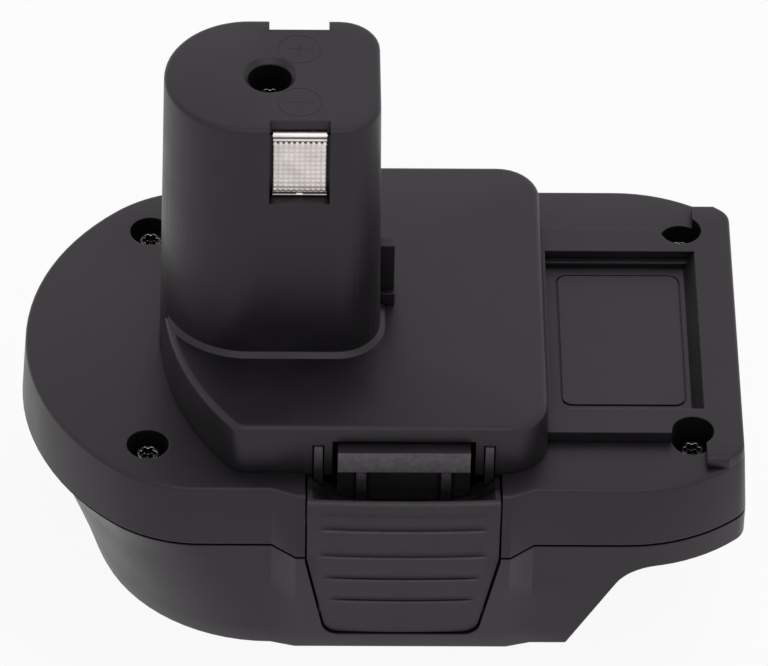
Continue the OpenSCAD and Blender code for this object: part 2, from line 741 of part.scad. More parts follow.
module upper_casing() {
    color([0.16, 0.16, 0.17]) difference() {
        union() {
            difference() {
                union() {
                    difference() {
                        cover_block(deck_z, 0);
                        front_and_rear() latch_cut();
                    }
                    platform_block();
                    stem_block();
                    stem_foot();
                    stem_key();
                    label_frame();
                }
                cover_hollow();
            }
            for (p = casing_screw_spots) rod(p, boss_r, boss_z, top_under + bond);
            rod([stem_screw_x, 0], stem_sink_r + stem_boss_wall, carrier_seat_z, stem_under + bond);
        }
        label_pocket();
        front_and_rear() hook_windows();
        front_and_rear() stem_window();
        for (p = casing_screw_spots) {
            rod(p, sink_r, seat_z, frame_z + over);
            rod(p, pilot_r + fit_gap, lower_h, seat_z + bond);
        }
        rod([stem_screw_x, 0], stem_sink_r, stem_seat_z, stem_z + over);
        rod([stem_screw_x, 0], pilot_r + fit_gap, carrier_seat_z - bond, stem_seat_z + bond);
        translate([stem_screw_x, 0, stem_z - lead_in])
            cylinder(r1 = stem_sink_r, r2 = stem_sink_r + lead_in + bond, h = lead_in + bond);
    }
}

// Wall of the lower casing: bottom edge, neck under the cover's overhang and parting line, cut flat
module skirt_block() {
    x = end_x + over;
    y = half_w + bay_out + over;
    difference() {
        loft(concat(
            [for (a = [0:45:90]) at_height(bottom_outline(-foot_r * (1 - sin(a))),
                foot_r * (1 - cos(a)) - flush_step)],
            [for (t = [1 / 6:1 / 6:1.01]) at_height(between(bottom_outline(0), neck_outline(), t),
                foot_r + (lower_h - neck_h - foot_r) * t)],
            [at_height(parting_outline(0), lower_h)]));
        for (z = [-over, lower_h - seam / 2]) block([-x, x], [-y, y], [z, z + over]);
    }
}

// Everything in front of the skirt's slanted end and under the lip
module skirt_end_cut() {
    c = [skirt_end_x + (skirt_end_r + (bay_h - skirt_end_r) * sin(skirt_end_a)) / cos(skirt_end_a),
        bay_h - skirt_end_r];
    far = end_x + over;
    points = concat([[skirt_end_x - over * tan(skirt_end_a), -over]],
        arc(c, skirt_end_r, 180 - skirt_end_a, 90, 8), [[far, bay_h], [far, -over]]);
    translate([0, half_w + over, 0]) rotate([90, 0, 0]) linear_extrude(casing_w + 2 * over) polygon(points);
}

// Outline of a latch's panel in X and Z, grown by a gap
function latch_outline(g, top) =
    let (r = latch_foot_r + g, cz = latch_foot_z - g + r, w = latch_half + g)
    let (c = [w + (sin(taper) * (cz - latch_knee_z) - r) / cos(taper), cz])
    let (side = concat([[w, top], [w, latch_knee_z]], arc(c, r, -taper, -90, 6)))
    concat(side, [for (i = [len(side) - 1:-1:0]) [-side[i][0], side[i][1]]]);

module latch_face(g, top, y0, y1) {
    translate([latch_x, y1, 0]) rotate([90, 0, 0]) linear_extrude(y1 - y0) polygon(latch_outline(g, top));
}

module pivot_pins(r, l) {
    w = latch_half - (latch_knee_z - pivot_z) * tan(taper) + l;
    translate([latch_x - w, pivot_y, pivot_z]) rotate([0, 90, 0]) cylinder(r = r, h = 2 * w);
}

// Tongue inside the seam, left open at the latches
module tongue() {
    t = latch_half + tab_out + 2 * latch_gap;
    difference() {
        prism(parting_outline(-wall - fit_gap, false), roof_z - bond, lower_h + tongue_h);
        block([latch_x - t, latch_x + t], [-half_w, half_w], [lower_h - seam, lower_h + over]);
    }
}

module spring_post() {
    w = spring_od / 2 + post_side;
    block([latch_x - w, latch_x + w], [post_y - post_t, post_y], [roof_z - bond, spring_z + spring_od / 2]);
    translate([latch_x, post_y - bond, spring_z]) rotate([-90, 0, 0]) cylinder(r = peg_r, h = peg_l + bond);
}

module lower_casing() {
    color([0.14, 0.14, 0.15]) difference() {
        union() {
            difference() {
                union() {
                    skirt_block();
                    tongue();
                }
                prism(bottom_outline(-skirt_t, false, end_x + corner_r), -over, bay_h);
                prism(parting_outline(-wall - fit_gap - tongue_t, false), roof_z, lower_h + over);
            }
            front_and_rear() block([rail_x, end_x], [bay_half - rail_d, bay_half + bond],
                [rail_z, rail_z + rail_t]);
            front_and_rear() spring_post();
            for (p = casing_screw_spots) rod(p, boss_r, roof_z - bond, boss_z);
            front_and_rear() rod(flange_screw, flange_screw_in - fit_gap, roof_z - bond, boss_z);
        }
        skirt_end_cut();
        front_and_rear() latch_face(latch_gap, lower_h + over, pocket_y, half_w + over * 2);
        front_and_rear() pivot_pins(pivot_r + pivot_gap, pivot_l + latch_gap);
        for (p = casing_screw_spots) rod(p, pilot_r, bay_h + tip_skin, boss_z + bond);
        front_and_rear() rod(flange_screw, pilot_r, bay_h + tip_skin, boss_z + bond);
        block([block_x - fit_gap, block_x + block_l + fit_gap],
            [-block_half - fit_gap, block_half + fit_gap], [bay_h - bond, roof_z + bond]);
        block([end_x - lock_in - lock_l, end_x - lock_in], [-lock_w / 2, lock_w / 2],
            [bay_h - bond, bay_h + lock_depth]);
    }
}

// Panel of a latch on the rear side, bulged and rounded along its top edge
module latch_panel() {
    r = latch_edge_r;
    face = concat(arc([panel_y(latch_top) - r, latch_top - r], r, 90, 0, 4),
        [for (z = [lower_h, latch_foot_z]) [panel_y(z), z]]);
    back = [for (z = [latch_foot_z, lower_h, latch_top]) [panel_y(z) - latch_t, z]];
    intersection() {
        latch_face(0, latch_top + bond, half_w - over, half_w + over);
        crowned(concat(face, back), latch_w + over);
    }
}

// V-shaped groove across the panel, steeper on its upper side and fading out at both ends
module grip_groove(z, n = 10) {
    w = latch_half - groove_in - max(0, latch_knee_z - z) * tan(taper);
    up = 2 * groove_w * groove_tilt;
    down = 2 * groove_w - up;
    loft([for (i = [0:n])
        let (t = 2 * i / n - 1, y = panel_y(z) + crown(w * t) + flush_step, x = latch_x + w * t)
        [[x, y + groove_depth, z + up], [x, y + groove_depth, z - down],
            [x, y - (groove_depth + flush_step) * (1 - pow(t, 10)), z]]]);
}

// Hollow for a finger behind the panel's lip, running out towards both sides
module scoop_cut(n = 16) {
    lip = panel_y(latch_top) - scoop_lip;
    w = latch_half - scoop_side;
    back = web_y - bond;
    loft([for (i = [0:n])
        let (t = 2 * i / n - 1, depth = (latch_top - scoop_z) * (1 - scoop_fade * pow(t, 4)))
        [for (p = concat([[back, over], [lip, over]],
            [for (a = [90:-15:0]) [hook_y + (lip - hook_y) * sin(a), -depth * cos(a)]], [[back, -depth]]))
            [latch_x + w * t, p[0] + crown(w * t), latch_top + p[1]]]]);
}

module latch_hook() {
    back = hook_y - hook_d;
    top = hook_z + hook_h;
    along_x([[hook_y, hook_z], [hook_y, top], [web_y + bond, top + hook_slope],
        [back, top + hook_slope], [back, hook_z]], hook_w);
    along_x([[web_y, shelf_z], [web_y + web_t, shelf_z], [web_y + web_t, hook_z + bond],
        [web_y, hook_z + bond]], hook_w);
    for (s = [-1, 1]) {
        x = latch_x + s * gusset_x;
        block([x - gusset_t / 2, x + gusset_t / 2], [web_y + bond, hook_y - gusset_in],
            [scoop_z - bond, hook_z + bond]);
    }
}

// Ears that stand up through the platform's wall, and stop tabs behind the cover's wall
module ears_and_tabs() {
    for (s = [0, 1]) translate([latch_x, 0, 0]) mirror([s, 0, 0]) {
        hull() for (e = [[shelf_z + bond, ear_t / 2, 0], [deck_z + ear_h - bond, ear_top_t / 2, ear_lean]])
            block([ear_x - e[1], ear_x + e[1]], [ear_y - ear_d - e[2], ear_y - e[2]], [e[0], e[0] + bond]);
        block([latch_half - bond, latch_half + tab_out], [tab_y - tab_t, tab_y],
            [shelf_z, shelf_z + tab_h]);
    }
}

// One latch on the rear side: panel with grip grooves, scoop, web, hook bar, ears, tabs and pins
module latch() {
    difference() {
        union() {
            latch_panel();
            block([latch_x - latch_half, latch_x + latch_half], [web_y, panel_y(latch_top) - latch_t / 2],
                [shelf_z, latch_top - shoulder_drop]);
        }
        scoop_cut();
        for (i = [0:groove_n - 1]) grip_groove(groove_z + i * groove_pitch);
    }
    latch_hook();
    ears_and_tabs();
    pivot_pins(pivot_r, pivot_l);
    translate([latch_x, web_y + bond, spring_z]) rotate([90, 0, 0]) cylinder(r = peg_r, h = peg_l + bond);
}

module rear_latch() {
    color([0.15, 0.15, 0.16]) latch();
}

module front_latch() {
    color([0.15, 0.15, 0.16]) mirror([0, 1, 0]) latch();
}

// One spring on the rear side, between the post and the web
spring_r = (spring_od - spring_wire) / 2;
spring_run = spring_l - spring_wire - 2 * spring_seat;
SPRING_PATH = [for (i = [0:8 * spring_n]) let (a = 45 * i)
    [latch_x + spring_r * cos(a), post_y + spring_wire / 2 + spring_seat + spring_run * i / (8 * spring_n),
        spring_z + spring_r * sin(a)]];
spring_gap = min([for (i = [0:len(SPRING_PATH) - 7], j = [i + 6:len(SPRING_PATH) - 1])
    norm(SPRING_PATH[i] - SPRING_PATH[j])]) - spring_wire;
echo(least_gap_between_curls = spring_gap);

module latch_spring() {
    tube(SPRING_PATH, [0, 1, 0], spring_wire / 2, 6);
}

module rear_latch_spring() {
    color([0.75, 0.76, 0.78]) latch_spring();
}

module front_latch_spring() {
    color([0.75, 0.76, 0.78]) mirror([0, 1, 0]) latch_spring();
}

// Core of the stem, with seats for the contacts and a pocket round the screw boss
module contact_carrier() {
    w = contact_w / 2 + fit_gap;
    z0 = sill_z - carrier_low;
    color([0.2, 0.2, 0.21]) difference() {
        prism(stem_outline(-stem_wall - fit_gap), z0, stem_under - carrier_gap);
        front_and_rear() {
            block([win_x - w, win_x + w], [contact_face - contact_t, stem_r], [contact_foot_z, stem_z]);
            block([win_x - w, win_x + w], [tail_face - contact_t, stem_r],
                [z0 - bond, contact_foot_z + contact_t + flush_step]);
        }
        rod([stem_screw_x, 0], stem_sink_r + stem_boss_wall + fit_gap, carrier_seat_z, stem_z);
        rod([stem_screw_x, 0], pilot_r, stem_seat_z - stem_screw_l - tip_gap, stem_z);
    }
}

// Contact on the rear side: face plate, top edge and foot turned in, and tail for the lead
module contact() {
    x = [win_x - contact_w / 2, win_x + contact_w / 2];
    z = contact_foot_z;
    top = stem_z - contact_drop;
    block(x, [contact_face - contact_t, contact_face], [z, top]);
    block(x, [stem_r - win_depth + fit_gap, contact_face], [top - contact_t, top]);
    block(x, [tail_face - contact_t, contact_face], [z, z + contact_t]);
    block([win_x - contact_w / 4, win_x + contact_w / 4], [tail_face - contact_t, tail_face],
        [z - tail_l, z + contact_t]);
}

module rear_contact() {
    color([0.78, 0.76, 0.72]) contact();
}

module front_contact() {
    color([0.78, 0.76, 0.72]) mirror([0, 1, 0]) contact();
}

// Pan-head screw with a six-lobe recess, its head resting at the height z
module screw(p, z, l, r) {
    rim_h = head_h - head_slope;
    translate([p[0], p[1], z]) difference() {
        union() {
            cylinder(r = r, h = rim_h);
            translate([0, 0, rim_h]) cylinder(r1 = r, r2 = r - head_slope, h = head_slope);
            translate([0, 0, -l]) cylinder(r = shank_r, h = l + bond);
        }
        translate([0, 0, head_h - drive_depth]) {
            cylinder(r = drive_r, h = head_h);
            for (a = [0:60:300]) rotate(a) translate([drive_r, 0, 0]) cylinder(r = lobe_r, h = head_h);
        }
    }
}

module stem_screw() {
    color([0.1, 0.1, 0.11]) screw([stem_screw_x, 0], stem_seat_z, stem_screw_l, head_r);
}

module casing_screws() {
    color([0.1, 0.1, 0.11]) for (p = casing_screw_spots)
        screw(p, seat_z, seat_z - bay_h - tip_skin - tip_gap, head_r);
}

module terminal_block_screws() {
    z = boss_z + flange_t;
    color([0.7, 0.7, 0.72]) front_and_rear()
        screw(flange_screw, z, z - bay_h - tip_skin - tip_gap, flange_head_r);
}

// Block in the bay's roof, with slots for both blades and a flange on two bosses
module terminal_block() {
    end = block_x + block_l;
    color([0.12, 0.12, 0.13]) difference() {
        union() {
            block([block_x, end], [-block_half, block_half], [bay_h - block_drop, boss_z + flange_t]);
            block([end - flange_l, end], [-flange_half, flange_half], [boss_z, boss_z + flange_t]);
        }
        front_and_rear() {
            blade_form(blade_gap);
            rod(flange_screw, pilot_r + fit_gap, boss_z - bond, boss_z + flange_t + bond);
        }
    }
}

// L-shaped blade on the rear side, grown by a clearance
module blade_form(g) {
    y = [blade_y - blade_t / 2 - g, blade_y + blade_t / 2 + g];
    block([tail_x - g, block_x + block_l + blade_l], y, [blade_z - g, blade_z + blade_h + g]);
    block([tail_x - g, tail_x + blade_tail_w + g], y, [blade_z, tail_z]);
}

module blade() {
    tip = block_x + block_l + blade_l;
    difference() {
        blade_form(0);
        for (z = [blade_z, blade_z + blade_h]) translate([tip, blade_y, z]) rotate([0, 45, 0])
            cube([blade_bevel, 2 * blade_t, blade_bevel], center = true);
    }
}

module positive_blade() {
    color([0.8, 0.66, 0.4]) blade();
}

module negative_blade() {
    color([0.8, 0.66, 0.4]) mirror([0, 1, 0]) blade();
}

module lead() {
    tube(smooth(LEAD_POINTS, 4), [0, 1, 0], lead_r, 8);
}

module positive_lead() {
    color([0.7, 0.08, 0.07]) lead();
}

module negative_lead() {
    color([0.08, 0.08, 0.08]) mirror([0, 1, 0]) lead();
}

module blank_label() {
    color([0.2, 0.2, 0.21]) label_form(0, label_z[0], label_z[1]);
}

upper_casing();
lower_casing();
front_latch();
rear_latch();
front_latch_spring();
rear_latch_spring();
contact_carrier();
front_contact();
rear_contact();
stem_screw();
casing_screws();
terminal_block();
positive_blade();
negative_blade();
terminal_block_screws();
positive_lead();
negative_lead();
blank_label();
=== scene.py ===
"""Looks of the tool battery adapter: materials, embossed contacts, springs, marks, light and camera."""
import json
import math

import bmesh
import bpy
from mathutils import Matrix, Vector


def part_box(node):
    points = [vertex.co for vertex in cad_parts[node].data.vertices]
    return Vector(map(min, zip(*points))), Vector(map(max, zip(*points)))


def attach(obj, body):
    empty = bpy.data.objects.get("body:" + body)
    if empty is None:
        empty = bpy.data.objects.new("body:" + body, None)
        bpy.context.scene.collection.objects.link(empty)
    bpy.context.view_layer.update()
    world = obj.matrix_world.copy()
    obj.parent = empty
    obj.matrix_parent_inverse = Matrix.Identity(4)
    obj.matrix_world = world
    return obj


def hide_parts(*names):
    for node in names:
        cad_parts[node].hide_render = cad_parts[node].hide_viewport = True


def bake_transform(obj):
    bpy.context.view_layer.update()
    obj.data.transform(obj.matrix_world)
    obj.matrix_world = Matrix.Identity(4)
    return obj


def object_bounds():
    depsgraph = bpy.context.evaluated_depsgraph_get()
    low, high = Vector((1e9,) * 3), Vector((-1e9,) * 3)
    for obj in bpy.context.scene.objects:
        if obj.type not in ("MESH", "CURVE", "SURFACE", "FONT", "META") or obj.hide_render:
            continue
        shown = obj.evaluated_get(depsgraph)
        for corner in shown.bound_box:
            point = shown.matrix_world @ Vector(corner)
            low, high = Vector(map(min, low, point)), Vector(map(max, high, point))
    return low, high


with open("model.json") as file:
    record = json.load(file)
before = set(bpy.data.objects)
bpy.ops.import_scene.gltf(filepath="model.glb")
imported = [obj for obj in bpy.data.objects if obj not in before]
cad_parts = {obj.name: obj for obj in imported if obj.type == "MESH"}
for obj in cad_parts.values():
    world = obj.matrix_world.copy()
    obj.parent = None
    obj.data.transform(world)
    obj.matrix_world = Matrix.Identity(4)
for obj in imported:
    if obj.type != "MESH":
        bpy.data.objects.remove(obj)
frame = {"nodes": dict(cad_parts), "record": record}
cad_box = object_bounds()
nodes = frame["nodes"]
MM = 0.001

# Camera: degrees, metres, and millimetres of lens and sensor
VIEW_AZIMUTH = -1.72
VIEW_ELEVATION = 42.35
VIEW_ROLL = 1.4
VIEW_DISTANCE = 1.2753
VIEW_TARGET = Vector((0.00087, 0.01728, 0.01883))
VIEW_LENS = 370.6
VIEW_SENSOR = 36.0
VIEW_END = 10.0

# Studio: name, place, aim, size and power of each lamp, and whether gloss shows it
LAMPS = (
    ("overhead", (0.35, 0.45, 1.0), (0, 0, 0.03), (0.8, 0.7), 6.0, False),
    ("front_fill", (0.2, -1.2, 0.5), (0, 0, 0.03), (1.2, 0.5), 1.0, False),
    ("left_strip", (-0.7, 0.9, 0.4), (0, 0, 0.05), (0.5, 0.8), 3.0, False),
    ("softbox", (0.1, -0.6, 1.1), (0, 0, 0.04), (1.0, 0.8), 2.2, True),
)
WHITE = (1.0, 1.0, 1.0, 1.0)
WORLD_LIGHT = 0.12
FLOOR_TONE = (0.86, 0.86, 0.86, 1.0)
FLOOR_HALF = 3.0
FLOOR_GAP = 0.05 * MM
# Share of plain white in the floor as it is seen, and as it lights the object
FLOOR_WHITE = 0.93
FLOOR_BOUNCE = 0.6

# Contact sheet: a lip, two pressed lines, a grid of raised dots and a foot
DOT_COLUMNS = 10
DOT_ROWS = 11
DOT_STEPS = 6
DOT_HEIGHT = 0.12 * MM
# Share of the relief that runs on along a column of dots, and the power that flattens the dots
DOT_RIB = 0.35
DOT_POWER = 0.7
# Thickness of the embossed sheet, and of the solid that it replaces
SHEET_T = 0.6 * MM
SOLID_T = 0.7 * MM
BEND = 0.1 * MM
TAIL_L = 15 * MM
TAIL_SHARE = 0.5
# Distance in mm below the sheet's top and depth behind its face, over lip, line, strip and line
HEAD_ROWS = ((0.0, 0.8), (0.02, 0.45), (0.1, 0.2), (0.22, 0.06), (0.33, 0.0), (0.75, 0.0), (0.84, 0.2),
             (1.02, 0.22), (1.12, 0.0), (1.5, 0.0), (1.58, 0.2), (1.95, 0.22), (2.08, 0.0))
# Height in mm above the sheet's foot and depth behind its face, over line and foot
FOOT_ROWS = ((0.68, 0.0), (0.6, 0.2), (0.28, 0.2), (0.2, 0.0), (0.08, 0.08), (0.02, 0.2), (0.0, 0.4))
# Rows deeper than this, in mm, are pressed lines, apart from those of the lip and of the foot
LINE_DEPTH = 0.1
LIP_H = 0.4
FOOT_H = 0.2
# The lower line under the lip is broken by teeth, and the line above the foot by a gap in its middle
TEETH_DROP = 1.3 * MM
TOOTH_STEPS = (2, 3, 4)
FOOT_ZONE = 1.0 * MM
GAP_HALF = 0.06
GROUND_DARKENING = 0.22

# Polarity marks on the stem's top
MARK_X = -13.6 * MM
MARK_Y = 6.3 * MM
MARK_R = 3.3 * MM
MARK_ARM = 1.5 * MM
MARK_W = 0.3 * MM
MARK_H = 0.035 * MM
MARK_STEPS = 64
# Half the gap between the plus mark's upright arms, as a share of an arm
PLUS_GAP = 0.15
# Section of a mark's ridge, in shares of half its width and of its height
RIDGE = ((-1.0, -0.5), (-0.7, 0.7), (0.0, 1.0), (0.7, 0.7), (1.0, -0.5))

# Plastic: mottling, gloss, grain, and rubbed edges with painted highlights
MOTTLE_SCALE = 90.0
MOTTLE_TONES = (0.8, 1.2)
MOTTLE_SHINE = 0.05
PLASTIC_GLOSS = 0.40
GLOSS_TINT = (1.0, 0.88, 1.0, 1.0)
VIOLET = 0.04
GRAIN_STRENGTH = 0.25
GRAIN_DEPTH = 0.02 * MM
RUB_SCALE = 1100.0
RUB_SHARES = (0.2, 1.0)
RUB_RANGE = (0.38, 0.62)
RUB_TURN = 0.35
# Reach, fade and tone of the painted shade in crevices, and the share of gloss left in them
CREVICE = 0.8 * MM
CREVICE_FADE = 0.45
CREVICE_SHADE_TONE = (0.002, 0.0018, 0.002, 1.0)
CREVICE_GLOSS = 0.2

# Metal: blotches, drawn grain, darkened places and the bare edges of black screws
BLOTCH_SCALE = 260.0
BLOTCH_TONE = 0.82
BLOTCH_SHINE = (0.08, -0.05)
DRAWN_DEPTH = 0.01 * MM
DARKENED_TONE = (0.04, 0.035, 0.035, 1.0)
BARE_EDGE = 0.2 * MM
BARE_TURN = 0.2

# Wire insulation
LEAD_SCALE = 400.0
LEAD_TONE = 0.8
LEAD_ROUGHNESS = (0.4, 0.52)

# Rubbed hook of a latch, painted highlights on its ears, scoop with its gussets, lip and upper half, and
# painted shade on its lower half
WORN_AND_LIT_TONE = 0.14
SCRATCH_SCALE = 900.0
SCRATCH_SHARES = (0.45, 1.0)
LATCH_X = 3.0 * MM
HOOK_FACE = 33.0 * MM
HOOK_SLACK = 0.06 * MM
HOOK_LOW = 35.4 * MM
HOOK_HIGH = 39.42 * MM
EAR_IN = 12.4 * MM
EAR_LOW = 33.5 * MM
EAR_HIGH = 38.5 * MM
EAR_HIGHLIGHT = 0.8
GUSSET_X = 6.6 * MM
GUSSET_CORE = 0.4 * MM
GUSSET_EDGE = 1.0 * MM
GUSSET_LOW = 30.5 * MM
SCOOP_LIGHT = 0.1
PANEL_FACE = 34.0 * MM
LIP_LOW = 32.2 * MM
LIP_FULL = 32.7 * MM
LIP_HIGH = 33.1 * MM
LIP_HIGHLIGHT = 0.35
PANEL_BEND = 22.2 * MM
BEND_FADE = 0.5 * MM
UPPER_LIGHT = 0.09
LOWER_SHADE = 0.14

# Grip grooves of a latch: the lowest one's height, their pitch, and where they end at the sides
GRIP_Z = 11.6 * MM
GRIP_PITCH = 5.35 * MM
GRIP_HALF = 13.5 * MM
GRIP_FADE = 1.5 * MM
GRIP_KNEE = 21.4 * MM
GRIP_TAPER = 0.18
# Painted shade strips above the grooves: their span and change are counted in grooves from the lowest one
STRIP_H = 1.3 * MM
STRIP_SHADE = 0.9
STRIP_SPAN = (0.0, 3.5)
STRIP_POWERS = (1.0, 1.6)
STRIP_CHANGE = (1.4, 1.9)
# Painted highlights on the lips below the grooves: their depth and strength change from the lower grooves
# to the upper ones
GROOVE_LIPS = (0.55 * MM, 0.36 * MM)
GROOVE_HIGHLIGHT = (0.3, 0.55)
GROOVE_CHANGE = (1.0, 1.8)
GROOVE_SPAN = (-0.5, 3.0)
GROOVE_CORE = 0.108 * MM
GROOVE_EDGE = 0.288 * MM
# A faint strip of painted shade near the latch's top
FAINT_Z = 30.7 * MM
FAINT_HALF = 0.5 * MM
FAINT_SHADE = 0.25
# Share of a crevice's painted shade left on faces that look up, low and high on the latch
FLANK_SHADE = (0.8, 0.1)
FLANK_Z = 19.0 * MM
FLANK_RANGE = (0.2, 0.5)

# Ranges of noise that count for tones and for shares, and of openness for edges that stand out
TONE_RANGE = (0.35, 0.65)
NOISE_RANGE = (0.3, 0.7)
OUTER_RANGE = (0.7, 0.95)
OUTER_RADII = 4
RAY_SAMPLES = 6

# Shading of the solids
SMOOTH_ANGLE = math.radians(28)
WELD_DISTANCE = 0.002 * MM

# Numbers of the mix node's sockets, several of which share a name
MIX_SHARE = 0
MIX_VECTORS = (4, 5)
MIX_COLOURS = (6, 7)
VECTOR_OUT = 1
COLOUR_OUT = 2


# Node helpers: a value is a node with the name or number of its output
def new_material(name):
    mat = bpy.data.materials.new(name)
    mat.use_nodes = True
    tree = mat.node_tree
    return mat, tree, tree.nodes["Principled BSDF"]


def add(tree, kind, **sockets):
    node = tree.nodes.new(kind)
    for key, value in sockets.items():
        if key in node.inputs:
            node.inputs[key].default_value = value
        else:
            setattr(node, key, value)
    return node


def link(tree, value, target, socket):
    node, output = value
    tree.links.new(node.outputs[output], target.inputs[socket])


def opaque(colour, share=1.0):
    """A colour, darkened to a share of itself, without transparency."""
    return tuple(c * share for c in colour) + (1.0,)


def grey(value):
    """A dark neutral with a trace of violet."""
    return opaque((value * (1 + VIOLET), value * (1 - VIOLET), value * (1 + VIOLET)))


def noise(tree, coords, scale, detail=3.0, rough=0.55):
    node = add(tree, "ShaderNodeTexNoise", Scale=scale, Detail=detail, Roughness=rough)
    link(tree, (coords, "Object"), node, "Vector")
    return node, "Fac"


def ramp(tree, value, low, high):
    """A colour that goes from low to high with a noise."""
    node = tree.nodes.new("ShaderNodeValToRGB")
    for element, position, colour in zip(node.color_ramp.elements, TONE_RANGE, (low, high)):
        element.position = position
        element.color = colour
    link(tree, value, node, "Fac")
    return node, "Color"


def ease(tree, value, low, high, start, end):
    """A value that goes from low to high as another goes from start to end."""
    node = tree.nodes.new("ShaderNodeMapRange")
    node.inputs["From Min"].default_value = start
    node.inputs["From Max"].default_value = end
    node.inputs["To Min"].default_value = low
    node.inputs["To Max"].default_value = high
    link(tree, value, node, "Value")
    return node, "Result"


def math_node(tree, operation, first, second=0.0):
    """A sum, product or comparison of two, each a number or a value."""
    node = add(tree, "ShaderNodeMath", operation=operation)
    for i, value in enumerate((first, second)):
        if isinstance(value, tuple):
            link(tree, value, node, i)
        else:
            node.inputs[i].default_value = value
    return node, "Value"


def times(tree, mask, *others):
    for other in others:
        mask = math_node(tree, "MULTIPLY", mask, other)
    return mask


def most(tree, mask, *others):
    for other in others:
        mask = math_node(tree, "MAXIMUM", mask, other)
    return mask


def above(tree, value, bound):
    return math_node(tree, "GREATER_THAN", value, bound)


def below(tree, value, bound):
    return math_node(tree, "LESS_THAN", value, bound)


def between(tree, value, low, high):
    return times(tree, above(tree, value, low), below(tree, value, high))


def distance(tree, value, place):
    return math_node(tree, "ABSOLUTE", math_node(tree, "SUBTRACT", value, place))


def mix_colours(tree, share, low, high):
    """A colour between two, of which the low one is a value."""
    mixed = add(tree, "ShaderNodeMix", data_type="RGBA")
    link(tree, share, mixed, MIX_SHARE)
    link(tree, low, mixed, MIX_COLOURS[0])
    mixed.inputs[MIX_COLOURS[1]].default_value = high
    return mixed, COLOUR_OUT


def mix_shaders(tree, share, first, second):
    mix = tree.nodes.new("ShaderNodeMixShader")
    link(tree, share, mix, "Fac")
    link(tree, first, mix, 1)
    link(tree, second, mix, 2)
    return mix, "Shader"


def openness(tree, reach):
    """How free a point is from the rest of its own piece within a reach."""
    node = add(tree, "ShaderNodeAmbientOcclusion", samples=RAY_SAMPLES, only_local=True, Distance=reach)
    return node, "AO"


def edge_mask(tree, radius, turn):
    """Normals rounded along edges that stand out, a mask of all edges and a mask of what stands out."""
    rounded = (add(tree, "ShaderNodeBevel", samples=RAY_SAMPLES, Radius=radius), "Normal")
    flat = (tree.nodes.new("ShaderNodeNewGeometry"), "Normal")
    agree = add(tree, "ShaderNodeVectorMath", operation="DOT_PRODUCT")
    link(tree, rounded, agree, 0)
    link(tree, flat, agree, 1)
    sharp = ease(tree, (agree, "Value"), 1.0, 0.0, 1.0 - turn, 1.0)
    outer = ease(tree, openness(tree, OUTER_RADII * radius), 0.0, 1.0, *OUTER_RANGE)
    normal = add(tree, "ShaderNodeMix", data_type="VECTOR")
    link(tree, outer, normal, MIX_SHARE)
    link(tree, flat, normal, MIX_VECTORS[0])
    link(tree, rounded, normal, MIX_VECTORS[1])
    return (normal, VECTOR_OUT), sharp, outer


# Wear, painted highlights and painted shade of a latch, by places on its solid
def latch_places(tree, coords):
    """Height, distance from the adapter's middle plane and distance from the latch's own middle."""
    apart = tree.nodes.new("ShaderNodeSeparateXYZ")
    link(tree, (coords, "Object"), apart, "Vector")
    out = math_node(tree, "ABSOLUTE", (apart, "Y"))
    aside = distance(tree, (apart, "X"), LATCH_X)
    return (apart, "Z"), out, aside


def grip_places(tree, up, aside):
    """Height counted in grip grooves from the lowest one, and a mask that fades where the grooves end."""
    count = math_node(tree, "DIVIDE", math_node(tree, "SUBTRACT", up, GRIP_Z), GRIP_PITCH)
    under_knee = most(tree, math_node(tree, "SUBTRACT", GRIP_KNEE, up), 0.0)
    spare = math_node(tree, "ADD", aside, times(tree, under_knee, GRIP_TAPER))
    return count, ease(tree, spare, 1.0, 0.0, GRIP_HALF - GRIP_FADE, GRIP_HALF)


def hook_wear(tree, up, out):
    face = above(tree, out, HOOK_FACE - HOOK_SLACK)
    return times(tree, face, between(tree, up, HOOK_LOW, HOOK_HIGH))


def ear_highlight(tree, up, aside):
    # painted highlight: the ears lighter towards their tops
    high = ease(tree, up, 0.0, EAR_HIGHLIGHT, EAR_LOW, EAR_HIGH)
    return times(tree, above(tree, aside, EAR_IN), high)


def scoop_light(tree, up, out, aside):
    """Painted light in the scoop under the hook, with painted highlights on its gussets, lighter towards
    their tops.
    """
    gussets = ease(tree, distance(tree, aside, GUSSET_X), 1.0, SCOOP_LIGHT, GUSSET_CORE, GUSSET_EDGE)
    high = ease(tree, up, SCOOP_LIGHT, 1.0, GUSSET_LOW, HOOK_LOW)
    mask = math_node(tree, "MINIMUM", gussets, high)
    return times(tree, mask, below(tree, up, HOOK_LOW), below(tree, out, HOOK_FACE))


def groove_lip_highlights(tree, up, aside):
    """Painted highlights on the lips below the grip grooves."""
    count, ends = grip_places(tree, up, aside)
    under = math_node(tree, "SUBTRACT", 1.0, math_node(tree, "FRACT", count))
    depth = ease(tree, count, *(lip / GRIP_PITCH for lip in GROOVE_LIPS), *GROOVE_CHANGE)
    off = distance(tree, under, depth)
    lips = ease(tree, off, 1.0, 0.0, GROOVE_CORE / GRIP_PITCH, GROOVE_EDGE / GRIP_PITCH)
    wear_and_highlight = ease(tree, count, *GROOVE_HIGHLIGHT, *GROOVE_CHANGE)
    return times(tree, lips, between(tree, count, *GROOVE_SPAN), wear_and_highlight, ends)


def panel_highlights(tree, up, out, aside):
    """Painted highlights on the panel's upper half, its lip and the lips of its grooves."""
    lip = times(tree, ease(tree, up, 0.0, LIP_HIGHLIGHT, LIP_LOW, LIP_FULL), below(tree, up, LIP_HIGH))
    upper = ease(tree, up, 0.0, UPPER_LIGHT, PANEL_BEND, PANEL_BEND + BEND_FADE)
    mask = most(tree, lip, groove_lip_highlights(tree, up, aside), upper)
    return times(tree, mask, above(tree, out, PANEL_FACE))


